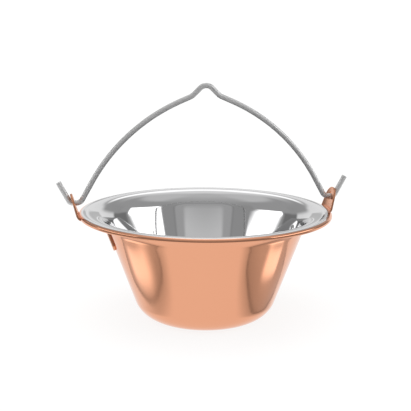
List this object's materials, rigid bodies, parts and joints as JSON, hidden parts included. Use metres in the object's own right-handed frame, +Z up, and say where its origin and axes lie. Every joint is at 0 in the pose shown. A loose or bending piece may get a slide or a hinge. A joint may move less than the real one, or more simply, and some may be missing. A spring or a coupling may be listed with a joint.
{
  "type": "soup kettle",
  "caption": "Round hanging soup kettle: tapered copper bowl with a polished steel lining, wide flared rim, riveted strap ears and a swinging bent wire bail with a hook notch.",
  "frame": {"origin": "centre of the flat base, on the bowl's axis; the kettle stands on z = 0", "axes": "+Z up along the bowl's axis; +X along the bail's pivot line towards the right ear; the bail swings about X and is stored upright; -Y is the side the kettle is seen from"},
  "size_m": [0.2802, 0.24, 0.2244],
  "materials": {
    "copper_shell": "polished copper",
    "steel_liner": "polished stainless steel",
    "ear": "polished copper",
    "rivet": "plain stainless steel",
    "bail_wire": "drawn stainless wire"
  },
  "bodies": {
    "kettle": {"copper_shell": "copper_shell", "steel_liner": "steel_liner", "left_ear": "ear", "right_ear": "ear", "left_front_rivet": "rivet", "left_back_rivet": "rivet", "right_front_rivet": "rivet", "right_back_rivet": "rivet"},
    "bail": {"bail_handle": "bail_wire"}
  },
  "joints": [
    {"name": "bail_swing", "type": "hinge", "parent": "kettle", "child": "bail", "pos_m": [0, 0, 0.1143], "axis": [1, 0, 0], "range_deg": [-94, 94]}
  ]
}
